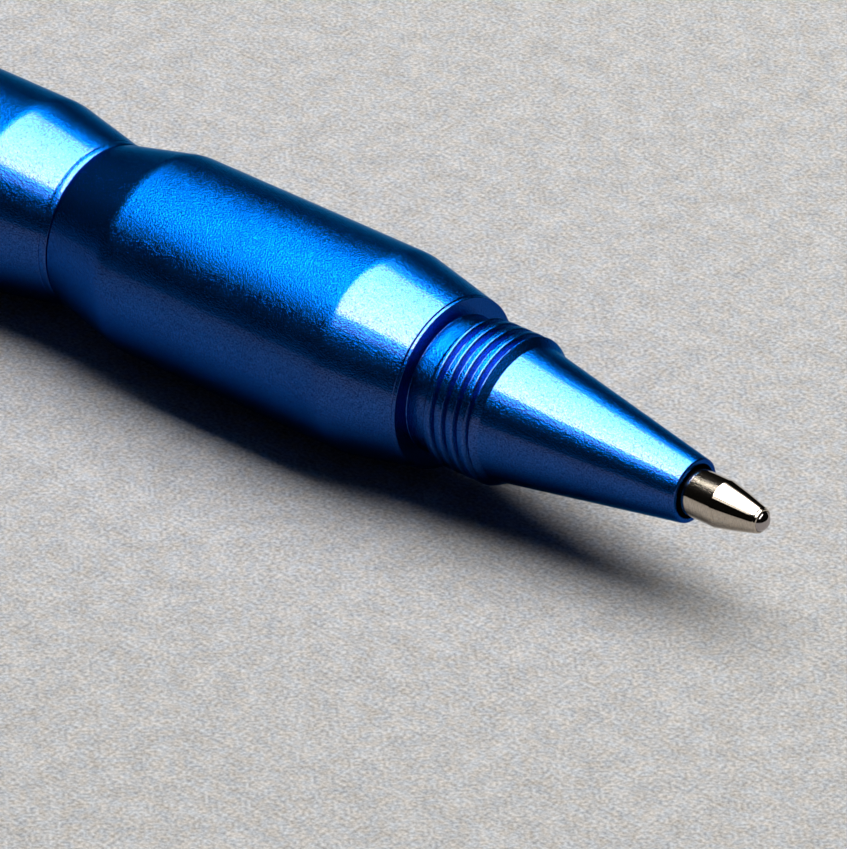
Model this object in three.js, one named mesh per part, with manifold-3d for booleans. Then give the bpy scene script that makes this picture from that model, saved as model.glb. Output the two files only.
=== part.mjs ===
// A screw-cap ballpoint pen, turned from anodised aluminium, with its cap posted on the tail.
// The pen lies on a flat surface: X runs along it with the writing ball towards +X, Z is up,
// and the origin is under its middle. All sizes are millimetres.
// Every turned piece is a profile of [station, radius] points. A station is the distance
// back from the front of the ball, measured along the axis.

import * as THREE from "three";
import { mergeVertices } from "three/addons/utils/BufferGeometryUtils.js";
import Module from "manifold-3d";

// Writing point and ball
const BALL_D = 1.2;
const BALL_CLEARANCE = 0.02;
const POINT_D = 2.5;
const POINT_CONE = 2.75;
const POINT_BREAK = 1.6;
const POINT_BREAK_D = 1.99;
const POINT_SWAGE = 0.55;
const POINT_SWAGE_D = 1.42;
const POINT_LIP = 0.33;
const POINT_LIP_WALL = 0.04;
const POINT_LENGTH = 15.4;
const INK_CHANNEL_D = 0.9;
const FEED_SLOTS = 3;
const FEED_SLOT_WIDTH = 0.16;
const FEED_SLOT_REACH = 0.5;
const FEED_SLOT_START = 0.2;
const FEED_SLOT_END = 0.35;

// Metal refill
const REFILL_LENGTH = 98.1;
const REFILL_D = 5.9;
const REFILL_WALL = 0.32;
const HOLDER_FRONT = 12.9;
const HOLDER_FRONT_D = 2.76;
const HOLDER_CONE = 3.1;
const HOLDER_FLANGE = 0.5;
const HOLDER_SPIGOT = 4.6;
const HOLDER_CHANNEL_D = 1.8;
const PLUG_LENGTH = 5.0;
const PLUG_SPIGOT = 4.5;
const PLUG_VENT_D = 1.0;
const PLUG_SLOTS = 3;
const PLUG_SLOT_WIDTH = 1.1;
const PLUG_SLOT_DEPTH = 1.2;
const INK_AIR = 9.5;

// Nose, front thread and front barrel
const POINT_REACH = 4.6;
const NOSE_BORE_D = 2.88;
const NOSE_FACE_D = 3.4;
const NOSE_BASE_D = 7.2;
const NOSE_CONE = 11.0;
const SHOULDER = 0.38;
const THREAD_D = 8.0;
const THREAD_PITCH = 0.75;
const THREAD_LENGTH = 2.9;
const THREAD_DEPTH = 0.3;
const NECK_LENGTH = 1.35;
const FRONT_FACE_D = 9.2;
const FRONT_TAPER = 4.6;
const BARREL_D = 11.0;
const BARREL_STRAIGHT = 15.0;
const WAIST_TAPER = 4.3;
const WAIST_D = 9.1;
const EDGE_BREAK = 0.1;
const THREAD_CHAMFER = 0.3;

// Rear barrel
const REAR_BARREL_D = 10.8;
const FLARE = 4.4;
const LIP_BAND = 0.5;
const LIP_BAND_RISE = 0.05;
const TAIL_TAPER = 4.3;
const TAIL_FACE_D = 9.1;

// Coupler between the two barrels, with its sealing ring
const COUPLER_THREAD_TURNS = 6;
const COUPLER_PRESS_D = 7.6;
const COUPLER_PRESS_LENGTH = 7.0;
const COUPLER_COLLAR = 1.0;
const RING_CORD_D = 0.5;
const RING_GROOVE_PLAY = 0.3;

// Spring and tail stud
const SPRING_LENGTH = 7.6;
const SPRING_D = 5.4;
const SPRING_WIRE_D = 0.4;
const SPRING_TURNS = 6;
const SPRING_EASE_RATIO = 0.7;
const SPRING_BARE = 1.0;
const STUD_D = 7.0;
const STUD_WALL = 1.0;
const STUD_POCKET_D = 6.0;
const STUD_END = 2.0;
const STUD_END_D = 6.0;
const STUD_CHAMFER = 0.3;

// Cap
const CAP_D = 11.0;
const CAP_MOUTH_D = 9.1;
const CAP_FLARE = 4.4;
const CAP_END_TAPER = 4.3;
const CAP_END_D = 9.1;
const CAP_END_WALL = 3.3;
const CAP_TIP_ROOM = 1.0;
const CAP_TIP_BORE_D = 3.8;
const CAP_TIP_BORE = 3.8;
const CAP_BORE_CONE = 3.0;

// Clearances
const SEAM = 0.06;
const THREAD_CLEARANCE = 0.06;
const PRESS_CLEARANCE = 0.03;
const RING_CLEARANCE = 0.03;
const REFILL_CLEARANCE = 0.1;
const NOSE_CLEARANCE = 0.12;
const SEAT_GAP = 0.2;
const SPRING_GAP = 0.15;
const COUPLER_END_GAP = 0.3;

// Facets and steps of round shapes
const SHELL_FACETS = 60;
const INNER_FACETS = 40;
const POINT_FACETS = 30;
const SEAT_STEPS = 8;
const BALL_RINGS = 12;
const RING_SIDES = 8;
const SPRING_STEPS_A_TURN = 14;
const SPRING_SIDES = 6;
const MERGE_DISTANCE = 1e-4;

// Stations that follow from the sizes above
const noseFace = POINT_REACH;
const noseBase = noseFace + NOSE_CONE;
const threadStart = noseBase + SHOULDER;
const threadEnd = threadStart + THREAD_LENGTH;
const neckRadius = THREAD_D / 2 - THREAD_DEPTH;
const frontFace = threadEnd + NECK_LENGTH;
const barrelStart = frontFace + FRONT_TAPER;
const barrelEnd = barrelStart + BARREL_STRAIGHT;
const waist = barrelEnd + WAIST_TAPER;
const springSeat = REFILL_LENGTH + 2 * SPRING_GAP + SPRING_LENGTH;
const tailFace = springSeat + STUD_WALL;
const capMouth = tailFace + SEAM;
const capDepth = frontFace + CAP_TIP_ROOM;
const capEnd = capMouth + capDepth + CAP_END_WALL;

const axisHeight = (Math.max(BARREL_D, CAP_D) / 2) * Math.cos(Math.PI / SHELL_FACETS);

const blue = { color: 0x0f6fd6, metalness: 0.85, roughness: 0.42 };
const nickelSilver = { color: 0xbdb7aa, metalness: 1.0, roughness: 0.25 };
const carbide = { color: 0x6f6a78, metalness: 1.0, roughness: 0.08 };
const brass = { color: 0xb08d3f, metalness: 1.0, roughness: 0.35 };
const steel = { color: 0xa9abad, metalness: 1.0, roughness: 0.3 };
const rubber = { color: 0x141416, metalness: 0.0, roughness: 0.75 };
const plastic = { color: 0x2a2c30, metalness: 0.0, roughness: 0.5 };
const inkPaste = { color: 0x10142e, metalness: 0.0, roughness: 0.3 };

// Closes a geometry: shared corners become one vertex and slivers without area go.
function closed(geometry) {
  const bare = new THREE.BufferGeometry();
  bare.setAttribute("position", geometry.getAttribute("position"));
  if (geometry.index) bare.setIndex(geometry.index);
  const merged = mergeVertices(bare, MERGE_DISTANCE);
  const order = merged.index.array;
  const kept = [];
  for (let i = 0; i < order.length; i += 3) {
    const [a, b, c] = [order[i], order[i + 1], order[i + 2]];
    if (a !== b && b !== c && c !== a) kept.push(a, b, c);
  }
  merged.setIndex(kept);
  return facingOut(merged);
}

// Turns the faces round where the enclosed volume comes out negative.
function facingOut(geometry) {
  const place = geometry.getAttribute("position");
  const order = Array.from(geometry.index.array);
  const [a, b, c] = [new THREE.Vector3(), new THREE.Vector3(), new THREE.Vector3()];
  let volume = 0;
  for (let i = 0; i < order.length; i += 3) {
    a.fromBufferAttribute(place, order[i]);
    b.fromBufferAttribute(place, order[i + 1]);
    c.fromBufferAttribute(place, order[i + 2]);
    volume += a.dot(b.cross(c));
  }
  if (volume < 0) {
    for (let i = 0; i < order.length; i += 3) {
      [order[i], order[i + 1]] = [order[i + 1], order[i]];
    }
  }
  geometry.setIndex(order);
  return geometry;
}

// A turned piece: its profile runs round once, or from the axis back to the axis.
function turned(profile, facets) {
  const onAxis = profile[0][1] === 0 && profile[profile.length - 1][1] === 0;
  const points = profile.map(([station, radius]) => new THREE.Vector2(radius, station));
  if (!onAxis) points.push(points[0].clone());
  return closed(new THREE.LatheGeometry(points, facets, Math.PI / facets, 2 * Math.PI));
}

// Points of a profile along a circular arc about a centre on the axis.
function arc(centre, radius, from, to, steps) {
  const points = [];
  for (let i = 0; i <= steps; i += 1) {
    const angle = from + ((to - from) * i) / steps;
    points.push([centre - radius * Math.cos(angle), radius * Math.sin(angle)]);
  }
  return points;
}

const wasm = await Module();
wasm.setup();

function toManifold(geometry) {
  return new wasm.Manifold(
    new wasm.Mesh({
      numProp: 3,
      vertProperties: Float32Array.from(geometry.getAttribute("position").array),
      triVerts: Uint32Array.from(geometry.index.array),
    }),
  );
}

function fromManifold(solid) {
  const mesh = solid.getMesh();
  const geometry = new THREE.BufferGeometry();
  geometry.setAttribute("position", new THREE.BufferAttribute(Float32Array.from(mesh.vertProperties), 3));
  geometry.setIndex(Array.from(mesh.triVerts));
  return geometry;
}

// Cuts bars out of a piece. Each bar lies across the axis, turned by its share of a half turn.
function slotted(geometry, count, width, reach, from, to) {
  let solid = toManifold(geometry);
  for (let i = 0; i < count; i += 1) {
    const bar = new THREE.BoxGeometry(width, to - from, 2 * reach);
    bar.translate(0, (from + to) / 2, 0);
    bar.rotateY((Math.PI * i) / count);
    solid = solid.subtract(toManifold(closed(bar)));
  }
  return fromManifold(solid);
}

// Front barrel: nose cone, threaded shoulder, two tapers, and a stepped bore through it all.
// Its flat face has a corner at the socket radius, where the mouth of a cap comes to rest.
function frontBarrel() {
  const bore = (REFILL_D + 2 * REFILL_CLEARANCE) / 2;
  const socket = (THREAD_D + 2 * THREAD_CLEARANCE) / 2;
  const socketEnd = waist - couplerFrontLength() - COUPLER_END_GAP;
  const holderSlope = (REFILL_D - HOLDER_FRONT_D) / 2 / HOLDER_CONE;
  const seatAt = (radius) => HOLDER_FRONT - SEAT_GAP + (radius - HOLDER_FRONT_D / 2) / holderSlope;
  return turned(
    [
      [noseFace, NOSE_BORE_D / 2],
      [noseFace, NOSE_FACE_D / 2 - EDGE_BREAK],
      [noseFace + EDGE_BREAK, NOSE_FACE_D / 2],
      [noseBase, NOSE_BASE_D / 2],
      [threadStart - EDGE_BREAK, THREAD_D / 2 - EDGE_BREAK],
      [threadStart, THREAD_D / 2],
      [threadEnd, THREAD_D / 2],
      [threadEnd + THREAD_DEPTH, neckRadius],
      [frontFace, neckRadius],
      [frontFace, socket],
      [frontFace, FRONT_FACE_D / 2 - EDGE_BREAK],
      [frontFace + EDGE_BREAK, FRONT_FACE_D / 2],
      [barrelStart, BARREL_D / 2],
      [barrelEnd, BARREL_D / 2],
      [waist - EDGE_BREAK / 2, WAIST_D / 2],
      [waist, WAIST_D / 2 - EDGE_BREAK / 2],
      [waist, socket],
      [socketEnd, socket],
      [socketEnd, bore],
      [seatAt(bore), bore],
      [seatAt(NOSE_BORE_D / 2), NOSE_BORE_D / 2],
    ],
    SHELL_FACETS,
  );
}

// Length of the coupler that stands out of the rear barrel.
function couplerFrontLength() {
  return 2 * COUPLER_COLLAR + ringGrooveWidth + COUPLER_THREAD_TURNS * THREAD_PITCH;
}

const ringGrooveWidth = RING_CORD_D + RING_GROOVE_PLAY;
const ringGrooveRear = waist - COUPLER_COLLAR;
const ringGrooveFront = ringGrooveRear - ringGrooveWidth;
const ringGrooveRadius = THREAD_D / 2 + THREAD_CLEARANCE - RING_CORD_D - 2 * RING_CLEARANCE;

// Coupler: threaded end for the front barrel, ring groove, and a plain end pressed in the rear barrel.
function coupler() {
  const front = waist - couplerFrontLength();
  const bore = (REFILL_D + 2 * REFILL_CLEARANCE) / 2;
  return turned(
    [
      [front, bore],
      [front, THREAD_D / 2 - THREAD_CHAMFER],
      [front + THREAD_CHAMFER, THREAD_D / 2],
      [ringGrooveFront, THREAD_D / 2],
      [ringGrooveFront, ringGrooveRadius],
      [ringGrooveRear, ringGrooveRadius],
      [ringGrooveRear, THREAD_D / 2],
      [waist, THREAD_D / 2],
      [waist, COUPLER_PRESS_D / 2],
      [waist + COUPLER_PRESS_LENGTH, COUPLER_PRESS_D / 2],
      [waist + COUPLER_PRESS_LENGTH, bore],
    ],
    INNER_FACETS,
  );
}

// Sealing ring in the coupler's groove.
function waistRing() {
  const middle = ringGrooveRadius + RING_CLEARANCE + RING_CORD_D / 2;
  const centre = (ringGrooveFront + ringGrooveRear) / 2;
  const profile = [];
  for (let i = 0; i < RING_SIDES; i += 1) {
    const angle = (Math.PI * (2 * i + 1)) / RING_SIDES;
    profile.push([
      centre + (RING_CORD_D / 2) * Math.cos(angle),
      middle + (RING_CORD_D / 2) * Math.sin(angle),
    ]);
  }
  return turned(profile, INNER_FACETS);
}

// Rear barrel: flared mouth, straight body, taper to the tail, and the stepped bore.
function rearBarrel() {
  const start = waist + SEAM;
  const bore = (REFILL_D + 2 * REFILL_CLEARANCE) / 2;
  const press = COUPLER_PRESS_D / 2 + PRESS_CLEARANCE;
  const stud = STUD_D / 2 + PRESS_CLEARANCE;
  const pressEnd = waist + COUPLER_PRESS_LENGTH + PRESS_CLEARANCE;
  const studEnd = studFront() - PRESS_CLEARANCE;
  return turned(
    [
      [start, press],
      [start, WAIST_D / 2 - EDGE_BREAK / 2],
      [start + EDGE_BREAK / 2, WAIST_D / 2],
      [start + LIP_BAND, WAIST_D / 2 + LIP_BAND_RISE],
      [start + LIP_BAND + FLARE, REAR_BARREL_D / 2],
      [tailFace - TAIL_TAPER, REAR_BARREL_D / 2],
      [tailFace - EDGE_BREAK, TAIL_FACE_D / 2],
      [tailFace, TAIL_FACE_D / 2 - EDGE_BREAK],
      [tailFace, stud],
      [studEnd, stud],
      [studEnd, bore],
      [pressEnd, bore],
      [pressEnd, press],
    ],
    SHELL_FACETS,
  );
}

// Station of the stud's front rim: the spring stands bare in front of it.
function studFront() {
  return REFILL_LENGTH + SPRING_GAP + SPRING_BARE;
}

// Tail stud: closes the rear barrel, seats the spring, and carries the thread that holds the cap.
function tailStud() {
  const shoulder = tailFace + SEAM;
  const neckEnd = shoulder + NECK_LENGTH;
  const studThreadEnd = neckEnd + THREAD_LENGTH;
  const end = studThreadEnd + SHOULDER + STUD_END;
  return turned(
    [
      [springSeat, 0],
      [springSeat, STUD_POCKET_D / 2],
      [studFront(), STUD_POCKET_D / 2],
      [studFront(), STUD_D / 2 - EDGE_BREAK],
      [studFront() + EDGE_BREAK, STUD_D / 2],
      [shoulder, STUD_D / 2],
      [shoulder, neckRadius],
      [neckEnd - THREAD_DEPTH, neckRadius],
      [neckEnd, THREAD_D / 2],
      [studThreadEnd, THREAD_D / 2],
      [studThreadEnd + SHOULDER, NOSE_BASE_D / 2],
      [end - STUD_CHAMFER, STUD_END_D / 2],
      [end, STUD_END_D / 2 - STUD_CHAMFER],
      [end, 0],
    ],
    INNER_FACETS,
  );
}

// Cap: a blind shell whose bore steps down with the nose that it covers.
function capShell() {
  const threadBore = THREAD_D / 2 + THREAD_CLEARANCE;
  const threadBoreEnd = capMouth + NECK_LENGTH + THREAD_LENGTH + SHOULDER + THREAD_CHAMFER;
  const noseBore = NOSE_BASE_D / 2 + NOSE_CLEARANCE;
  const bottom = capMouth + capDepth;
  const coneEnd = bottom - CAP_TIP_BORE;
  return turned(
    [
      [bottom, 0],
      [bottom, CAP_TIP_BORE_D / 2],
      [coneEnd, CAP_TIP_BORE_D / 2],
      [coneEnd - CAP_BORE_CONE, noseBore],
      [threadBoreEnd + (threadBore - noseBore), noseBore],
      [threadBoreEnd, threadBore],
      [capMouth, threadBore],
      [capMouth, CAP_MOUTH_D / 2 - EDGE_BREAK / 2],
      [capMouth + EDGE_BREAK / 2, CAP_MOUTH_D / 2],
      [capMouth + LIP_BAND, CAP_MOUTH_D / 2 + LIP_BAND_RISE],
      [capMouth + LIP_BAND + CAP_FLARE, CAP_D / 2],
      [capEnd - CAP_END_TAPER, CAP_D / 2],
      [capEnd - EDGE_BREAK, CAP_END_D / 2],
      [capEnd, CAP_END_D / 2 - EDGE_BREAK],
      [capEnd, 0],
    ],
    SHELL_FACETS,
  );
}

// Writing point: burnished lip, two cones, ball seat with feed slots, and the ink channel.
function writingPoint() {
  const seat = BALL_D / 2 + BALL_CLEARANCE;
  const lipAngle = Math.acos((BALL_D / 2 - POINT_LIP) / seat);
  const lipInner = seat * Math.sin(lipAngle);
  const lipOuter = lipInner + POINT_LIP_WALL;
  const lipBulge = (lipOuter + POINT_LIP_WALL + POINT_SWAGE_D / 2) / 2;
  const channelAngle = Math.PI - Math.asin(INK_CHANNEL_D / 2 / seat);
  const body = turned(
    [
      ...arc(BALL_D / 2, seat, lipAngle, channelAngle, SEAT_STEPS),
      [POINT_LENGTH, INK_CHANNEL_D / 2],
      [POINT_LENGTH, POINT_D / 2 - EDGE_BREAK],
      [POINT_LENGTH - EDGE_BREAK, POINT_D / 2],
      [POINT_CONE, POINT_D / 2],
      [POINT_BREAK, POINT_BREAK_D / 2],
      [POINT_SWAGE, POINT_SWAGE_D / 2],
      [(POINT_LIP + POINT_SWAGE) / 2, lipBulge],
      [POINT_LIP, lipOuter],
    ],
    POINT_FACETS,
  );
  const from = BALL_D / 2 + FEED_SLOT_START;
  const to = BALL_D + FEED_SLOT_END;
  return slotted(body, FEED_SLOTS, FEED_SLOT_WIDTH, FEED_SLOT_REACH, from, to);
}

// Ball, with a pole to the front so that it touches the paper at station 0.
function ball() {
  const sphere = new THREE.SphereGeometry(BALL_D / 2, 2 * BALL_RINGS, BALL_RINGS);
  sphere.translate(0, BALL_D / 2, 0);
  return closed(sphere);
}

const holderShoulder = HOLDER_FRONT + HOLDER_CONE;
const tubeFront = holderShoulder + HOLDER_FLANGE + PRESS_CLEARANCE;
const tubeRear = REFILL_LENGTH - PLUG_LENGTH - PRESS_CLEARANCE;
const tubeBore = REFILL_D / 2 - REFILL_WALL;

// Tip holder: the cone that seats in the nose, with a spigot in the refill tube.
function tipHolder() {
  const socket = POINT_D / 2 + PRESS_CLEARANCE;
  const socketEnd = POINT_LENGTH + PRESS_CLEARANCE;
  const spigot = tubeBore - PRESS_CLEARANCE;
  return turned(
    [
      [HOLDER_FRONT, socket],
      [HOLDER_FRONT, HOLDER_FRONT_D / 2],
      [holderShoulder, REFILL_D / 2],
      [holderShoulder + HOLDER_FLANGE, REFILL_D / 2],
      [holderShoulder + HOLDER_FLANGE, spigot],
      [holderShoulder + HOLDER_FLANGE + HOLDER_SPIGOT, spigot],
      [holderShoulder + HOLDER_FLANGE + HOLDER_SPIGOT, HOLDER_CHANNEL_D / 2],
      [socketEnd, HOLDER_CHANNEL_D / 2],
      [socketEnd, socket],
    ],
    INNER_FACETS,
  );
}

function refillTube() {
  return turned(
    [
      [tubeFront, tubeBore],
      [tubeFront, REFILL_D / 2],
      [tubeRear, REFILL_D / 2],
      [tubeRear, tubeBore],
    ],
    INNER_FACETS,
  );
}

// Ink paste that fills the tube behind the tip holder.
function inkColumn() {
  const start = holderShoulder + HOLDER_FLANGE + HOLDER_SPIGOT + PRESS_CLEARANCE;
  const end = REFILL_LENGTH - PLUG_LENGTH - PLUG_SPIGOT - INK_AIR;
  const radius = tubeBore - PRESS_CLEARANCE;
  return turned(
    [
      [start, 0],
      [start, radius],
      [end, radius],
      [end, 0],
    ],
    INNER_FACETS,
  );
}

// End plug: a spigot in the tube, a vent through it, and a slotted crown behind.
function refillEndPlug() {
  const spigot = tubeBore - PRESS_CLEARANCE;
  const flange = REFILL_LENGTH - PLUG_LENGTH;
  const body = turned(
    [
      [flange - PLUG_SPIGOT, PLUG_VENT_D / 2],
      [flange - PLUG_SPIGOT, spigot],
      [flange, spigot],
      [flange, REFILL_D / 2],
      [REFILL_LENGTH, REFILL_D / 2],
      [REFILL_LENGTH, PLUG_VENT_D / 2],
    ],
    INNER_FACETS,
  );
  const from = REFILL_LENGTH - PLUG_SLOT_DEPTH;
  const to = REFILL_LENGTH + PLUG_SLOT_DEPTH;
  return slotted(body, PLUG_SLOTS, PLUG_SLOT_WIDTH, REFILL_D, from, to);
}

// Compression spring: one unbroken wire whose end coils lie closer together.
function refillSpring() {
  const steps = SPRING_STEPS_A_TURN * SPRING_TURNS;
  const sides = SPRING_SIDES;
  const wire = SPRING_WIRE_D / 2;
  const middle = SPRING_D / 2 - wire;
  const start = REFILL_LENGTH + SPRING_GAP + wire;
  const rise = SPRING_LENGTH - SPRING_WIRE_D;
  const easing = SPRING_EASE_RATIO / (2 * Math.PI * SPRING_TURNS);
  const height = (t) => start + rise * (t - easing * Math.sin(2 * Math.PI * t));
  const place = [];
  const order = [];
  for (let i = 0; i <= steps; i += 1) {
    const t = i / steps;
    const angle = 2 * Math.PI * SPRING_TURNS * t;
    for (let j = 0; j < sides; j += 1) {
      const turn = (2 * Math.PI * j) / sides;
      const radius = middle + wire * Math.cos(turn);
      place.push(radius * Math.cos(angle), height(t) + wire * Math.sin(turn), radius * Math.sin(angle));
    }
  }
  for (let i = 0; i < steps; i += 1) {
    for (let j = 0; j < sides; j += 1) {
      const [a, b] = [i * sides + j, i * sides + ((j + 1) % sides)];
      order.push(a, b, a + sides, b, b + sides, a + sides);
    }
  }
  for (let j = 1; j < sides - 1; j += 1) {
    order.push(0, j + 1, j);
    order.push(steps * sides, steps * sides + j, steps * sides + j + 1);
  }
  const geometry = new THREE.BufferGeometry();
  geometry.setAttribute("position", new THREE.Float32BufferAttribute(place, 3));
  geometry.setIndex(order);
  return closed(geometry);
}

const pen = new THREE.Group();
pen.name = "pen";
pen.rotation.z = Math.PI / 2;
pen.position.set(capEnd / 2, 0, axisHeight);

function add(name, geometry, look) {
  const mesh = new THREE.Mesh(geometry, new THREE.MeshStandardMaterial(look));
  mesh.name = name;
  pen.add(mesh);
}

add("front_barrel", frontBarrel(), blue);
add("coupler", coupler(), brass);
add("waist_o_ring", waistRing(), rubber);
add("rear_barrel", rearBarrel(), blue);
add("tail_stud", tailStud(), blue);
add("cap_shell", capShell(), blue);
add("writing_point", writingPoint(), nickelSilver);
add("ball", ball(), carbide);
add("tip_holder", tipHolder(), brass);
add("refill_tube", refillTube(), steel);
add("ink_column", inkColumn(), inkPaste);
add("refill_end_plug", refillEndPlug(), plastic);
add("refill_spring", refillSpring(), steel);

const part = new THREE.Group();
part.add(pen);

export default part;
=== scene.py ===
# %% [markdown]
# A ballpoint pen, turned from aluminium and anodised blue, lies on a pale surface with its screw cap
# posted on the tail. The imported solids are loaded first. They fix where every piece is and how it
# moves, so all that follows takes its places from them, in metres.

import math

import bmesh
import bpy
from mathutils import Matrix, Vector


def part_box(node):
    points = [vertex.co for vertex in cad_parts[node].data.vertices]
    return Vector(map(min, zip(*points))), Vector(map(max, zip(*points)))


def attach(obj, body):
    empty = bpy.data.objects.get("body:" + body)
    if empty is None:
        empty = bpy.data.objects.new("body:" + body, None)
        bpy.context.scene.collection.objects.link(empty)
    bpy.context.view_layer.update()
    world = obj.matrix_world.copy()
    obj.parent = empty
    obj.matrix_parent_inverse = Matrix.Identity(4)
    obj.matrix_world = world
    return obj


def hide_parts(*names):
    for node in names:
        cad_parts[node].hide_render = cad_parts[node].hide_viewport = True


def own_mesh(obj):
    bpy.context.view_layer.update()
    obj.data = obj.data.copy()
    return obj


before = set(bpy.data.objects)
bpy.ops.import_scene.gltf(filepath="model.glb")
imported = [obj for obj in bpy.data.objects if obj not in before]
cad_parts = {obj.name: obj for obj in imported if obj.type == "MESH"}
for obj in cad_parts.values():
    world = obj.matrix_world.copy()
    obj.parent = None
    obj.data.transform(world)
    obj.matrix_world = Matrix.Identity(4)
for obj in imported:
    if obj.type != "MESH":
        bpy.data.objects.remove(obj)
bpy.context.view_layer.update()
MM = 0.001

# %% [markdown]
# Everything on the pen is round, so one line gives every place: the axis through its middle. Along
# it, a station is the distance back from the front of the ball, in millimetres, and a radius is the
# distance from the axis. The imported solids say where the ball's front and the axis are.

# %% The axis and its stations
TIP_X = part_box("ball")[1].x
AXIS_Z = (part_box("front_barrel")[0].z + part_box("front_barrel")[1].z) / 2


def front_of(node):
    """The station of a node's end towards the ball."""
    return (TIP_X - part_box(node)[1].x) / MM


def rear_of(node):
    """The station of a node's end towards the cap."""
    return (TIP_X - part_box(node)[0].x) / MM


def radius_of(node):
    """The largest radius of a node."""
    return (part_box(node)[1].z - AXIS_Z) / MM


def place(station, radius):
    """The point above the axis at that station and radius, in metres."""
    return Vector((TIP_X - station * MM, 0, AXIS_Z + radius * MM))


NOSE_FACE = front_of("front_barrel")
WAIST = rear_of("front_barrel")
print("nose face", round(NOSE_FACE, 2), "waist", round(WAIST, 2), "pen", round(rear_of("cap_shell"), 2))

# %% [markdown]
# The camera comes first, because every later choice is judged through it. It looks down at the pen
# from the front with a long lens, so the pen tapers little from near to far. Its place follows from
# the pixel that shows the ball's front, from how far off that point is, and from two angles.

# %% Camera
IMAGE_WIDTH = 847
IMAGE_HEIGHT = 849
FOCAL_PIXELS = 7708
TIP_PIXEL = (767.9, 523.9)
TIP_DISTANCE = 0.37688
CAMERA_TILT = 58.43
CAMERA_HEADING = 40.86
SENSOR = 36.0
CLIP_START = 0.01

bpy.ops.object.camera_add(rotation=(math.radians(CAMERA_TILT), 0, math.radians(CAMERA_HEADING)))
camera = bpy.context.object
camera.name = "camera"
camera.data.sensor_width = SENSOR
camera.data.lens = FOCAL_PIXELS * SENSOR / IMAGE_HEIGHT
camera.data.clip_start = CLIP_START
bpy.context.view_layer.update()
tip_in_view = Vector((
    (TIP_PIXEL[0] - IMAGE_WIDTH / 2) * TIP_DISTANCE / FOCAL_PIXELS,
    (IMAGE_HEIGHT / 2 - TIP_PIXEL[1]) * TIP_DISTANCE / FOCAL_PIXELS,
    -TIP_DISTANCE,
))
camera.location = place(0, 0) - camera.matrix_world.to_3x3() @ tip_in_view
bpy.context.scene.camera = camera
print("camera at", [round(c, 3) for c in camera.location], "lens", round(camera.data.lens, 1))

# %% [markdown]
# A finish is a material whose nodes vary it over the surface. Long chains of Math nodes are hard to
# read, so a small class wraps a node's output and lets Python's own operators add the nodes: a sum
# of two outputs becomes an Add node. The reflected forms let an expression start with a number.

# %% Outputs that can be calculated with


class Level:
    """An output in a finish's node tree that Python's operators can calculate with."""

    def __init__(self, finish, socket):
        self.finish = finish
        self.socket = socket

    def math(self, operation, first, second):
        return self.finish.node("ShaderNodeMath", {"operation": operation}, {0: first, 1: second})

    def __add__(self, other):
        return self.math("ADD", self, other)

    __radd__ = __add__

    def __sub__(self, other):
        return self.math("SUBTRACT", self, other)

    def __rsub__(self, other):
        return self.math("SUBTRACT", other, self)

    def __mul__(self, other):
        return self.math("MULTIPLY", self, other)

    __rmul__ = __mul__

    def __pow__(self, other):
        return self.math("POWER", self, other)

    def __gt__(self, other):
        return self.math("GREATER_THAN", self, other)

    def between(self, low, high):
        """Moves the range from 0 to 1 to another range."""
        return self * (high - low) + low

    def contrast(self, times):
        """Stretches a noise about its middle, which is one half."""
        return self * times - (times - 1) / 2


# %% [markdown]
# Every other kind of node comes from one method, which sets a node up and then feeds its sockets.
# The finishes here are made of the methods after it: speckle, a colour between two colours, a
# relief, and a second shader laid over the first. Speckle reads Object coordinates, which stay with
# the piece, and sizes are in millimetres, as they are on the real pen. The Mix node has sockets of
# the same name for numbers and for colours, so its colour sockets go by their place in the row.

# %% A finish
MIX_FIRST = 6
MIX_SECOND = 7
MIX_RESULT = 2


class Finish:
    """A material, and the one way in which nodes are added to it."""

    def __init__(self, name):
        self.material = bpy.data.materials.new(name)
        self.material.use_nodes = True
        self.tree = self.material.node_tree
        self.shader = self.tree.nodes["Principled BSDF"]

    def node(self, kind, settings, inputs, output=0):
        """Adds a node: its settings first, then the value or link of each socket."""
        node = self.tree.nodes.new(kind)
        for name, value in settings.items():
            setattr(node, name, value)
        for name, value in inputs.items():
            self.feed(node.inputs[name], value)
        return Level(self, node.outputs[output])

    def feed(self, socket, value):
        """Links an output to a socket, or sets the socket's own value."""
        if isinstance(value, Level):
            self.tree.links.new(value.socket, socket)
        else:
            socket.default_value = value

    def surface(self, inputs):
        """Sets the shader's own sockets."""
        for name, value in inputs.items():
            self.feed(self.shader.inputs[name], value)

    def speckle(self, along, across=None, detail=2.0):
        """Noise from 0 to 1 in spots that long along the pen and that wide across it."""
        across = across or along
        where = self.node("ShaderNodeTexCoord", {}, {}, "Object")
        shrink = (1 / along, 1 / across, 1 / across)
        spread = self.node("ShaderNodeMapping", {}, {"Vector": where, "Scale": shrink})
        return self.node("ShaderNodeTexNoise", {}, {"Vector": spread, "Scale": 1 / MM, "Detail": detail})

    def mix(self, factor, first, second):
        """A colour between two others, each three numbers or an output."""
        ends = [end if isinstance(end, Level) else (*end, 1) for end in (first, second)]
        inputs = {0: factor, MIX_FIRST: ends[0], MIX_SECOND: ends[1]}
        return self.node("ShaderNodeMix", {"data_type": "RGBA"}, inputs, MIX_RESULT)

    def bump(self, height, depth):
        """A normal for a relief of that depth."""
        return self.node("ShaderNodeBump", {}, {"Distance": depth * MM, "Height": height}, "Normal")

    def glaze(self, share, inputs):
        """Lays a second shader over the first, which takes a share of the light."""
        gloss = self.node("ShaderNodeBsdfPrincipled", {}, inputs)
        base = Level(self, self.shader.outputs[0])
        both = self.node("ShaderNodeMixShader", {}, {0: share, 1: base, 2: gloss})
        self.feed(self.tree.nodes["Material Output"].inputs["Surface"], both)


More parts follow.
